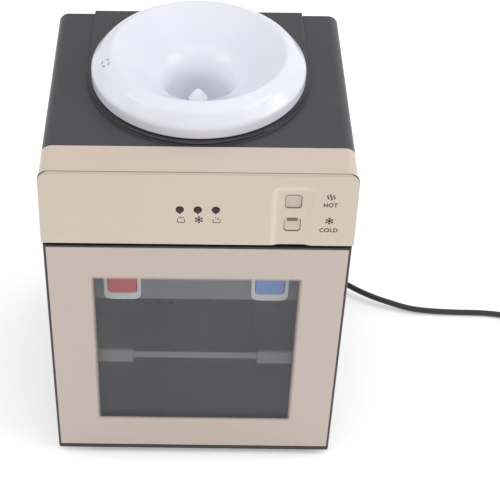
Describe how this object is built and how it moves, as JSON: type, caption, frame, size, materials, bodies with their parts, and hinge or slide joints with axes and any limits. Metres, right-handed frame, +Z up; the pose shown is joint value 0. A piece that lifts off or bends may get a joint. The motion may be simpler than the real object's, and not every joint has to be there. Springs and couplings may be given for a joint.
{
  "type": "countertop water dispenser",
  "caption": "Boxy countertop water dispenser with a round white bottle seat on top, a metallic head with rocker switches, and a glass door over hot and cold press taps.",
  "frame": {"origin": "on the table under the middle of the case", "axes": "+Z up, +X towards the user's right when facing the door, +Y towards the rear"},
  "size_m": [0.6801, 0.3401, 0.4304],
  "materials": {
    "dark_case": "fine satin grain",
    "champagne": "satin metallic champagne",
    "smoked_glass": "smoked, polished",
    "black_trim": "satin",
    "liner": "matt moulded",
    "white_plastic": "glossy moulded",
    "hot_red": "glossy",
    "cold_blue": "glossy",
    "rocker": "satin",
    "lens": "dark translucent",
    "circuit_board": "solder mask",
    "steel": "brushed",
    "aluminium": "extruded",
    "foam": "expanded bead foam",
    "silicone": "translucent white",
    "rubber": "matt",
    "cord": "satin vinyl"
  },
  "bodies": {
    "case": {"foot_front_left": "rubber", "foot_front_right": "rubber", "foot_rear_left": "rubber", "foot_rear_right": "rubber", "base_pan": "dark_case", "left_side_panel": "dark_case", "right_side_panel": "dark_case", "rear_panel": "dark_case", "top_cover": "dark_case", "head_shroud": "champagne", "control_panel": "champagne", "hot_switch_housing": "black_trim", "cold_switch_housing": "black_trim", "heating_lens": "lens", "cooling_lens": "lens", "keep_warm_lens": "lens", "indicator_board": "circuit_board", "tap_fascia": "liner", "chamber_ceiling": "liner", "chamber_back": "liner", "chamber_left_wall": "liner", "chamber_right_wall": "liner", "tray_shelf": "liner", "upper_hinge_bracket": "steel", "lower_hinge_bracket": "steel", "catch_magnet": "steel", "hot_tap_body": "white_plastic", "cold_tap_body": "white_plastic", "cold_tank": "steel", "tank_lid": "white_plastic", "tank_foam": "foam", "separator_disc": "white_plastic", "cooling_block": "aluminium", "heat_sink": "aluminium", "fan_frame": "black_trim", "hot_tank": "steel", "feed_tube": "silicone", "hot_outlet_tube": "silicone", "cold_outlet_tube": "silicone", "power_board": "circuit_board", "cord_gland": "rubber", "power_cord": "cord", "cord_coil": "cord", "plug": "cord"},
    "door": {"door_frame": "black_trim", "door_panel": "champagne", "door_window": "smoked_glass"},
    "hot_switch": {"hot_rocker": "rocker"},
    "cold_switch": {"cold_rocker": "rocker"},
    "hot_lever": {"hot_tap_lever": "hot_red"},
    "cold_lever": {"cold_tap_lever": "cold_blue"},
    "hot_valve": {"hot_tap_plunger": "steel"},
    "cold_valve": {"cold_tap_plunger": "steel"},
    "seat": {"bottle_seat": "white_plastic", "probe": "white_plastic", "seat_seal": "silicone"},
    "tray": {"drip_tray": "liner"},
    "grille": {"drip_grille": "black_trim"},
    "fan": {"fan_rotor": "black_trim"},
    "drain": {"drain_cap": "black_trim"}
  },
  "joints": [
    {"name": "door_swing", "type": "hinge", "parent": "case", "child": "door", "pos_m": [-0.1425, -0.1317, 0.16], "axis": [0, 0, -1], "range_deg": [0, 105]},
    {"name": "hot_switch_rock", "type": "hinge", "parent": "case", "child": "hot_switch", "pos_m": [0.0898, -0.12912, 0.36524], "axis": [1, 0, 0], "range_deg": [-13, 0]},
    {"name": "cold_switch_rock", "type": "hinge", "parent": "case", "child": "cold_switch", "pos_m": [0.0898, -0.13129, 0.33884], "axis": [1, 0, 0], "range_deg": [0, 13]},
    {"name": "hot_lever_press", "type": "hinge", "parent": "case", "child": "hot_lever", "pos_m": [-0.0748, -0.111, 0.271], "axis": [1, 0, 0], "range_deg": [0, 8], "stiffness_Nm_per_rad": 0.4, "springref_deg": -5.73},
    {"name": "cold_lever_press", "type": "hinge", "parent": "case", "child": "cold_lever", "pos_m": [0.0748, -0.111, 0.271], "axis": [1, 0, 0], "range_deg": [0, 8], "stiffness_Nm_per_rad": 0.4, "springref_deg": -5.73},
    {"name": "hot_valve_travel", "type": "slide", "parent": "case", "child": "hot_valve", "axis": [0, 1, 0], "range_m": [0, 0.0038]},
    {"name": "cold_valve_travel", "type": "slide", "parent": "case", "child": "cold_valve", "axis": [0, 1, 0], "range_m": [0, 0.0038]},
    {"name": "seat_lift", "type": "slide", "parent": "case", "child": "seat", "axis": [0, 0, 1], "range_m": [0, 0.12]},
    {"name": "tray_lift", "type": "slide", "parent": "case", "child": "tray", "axis": [0, 0, 1], "range_m": [0, 0.035]},
    {"name": "grille_lift", "type": "slide", "parent": "tray", "child": "grille", "axis": [0, 0, 1], "range_m": [0, 0.02]},
    {"name": "fan_spin", "type": "hinge", "parent": "case", "child": "fan", "pos_m": [0, 0.1309, 0.333], "axis": [0, 1, 0], "continuous": true},
    {"name": "drain_cap_turn", "type": "hinge", "parent": "case", "child": "drain", "pos_m": [-0.095, 0.1334, 0.062], "axis": [0, 1, 0], "range_deg": [0, 90]}
  ],
  "couplings": [
    {"joint": "hot_valve_travel", "follows": "hot_lever_press", "m_per_rad": 0.0265},
    {"joint": "cold_valve_travel", "follows": "cold_lever_press", "m_per_rad": 0.0265}
  ]
}
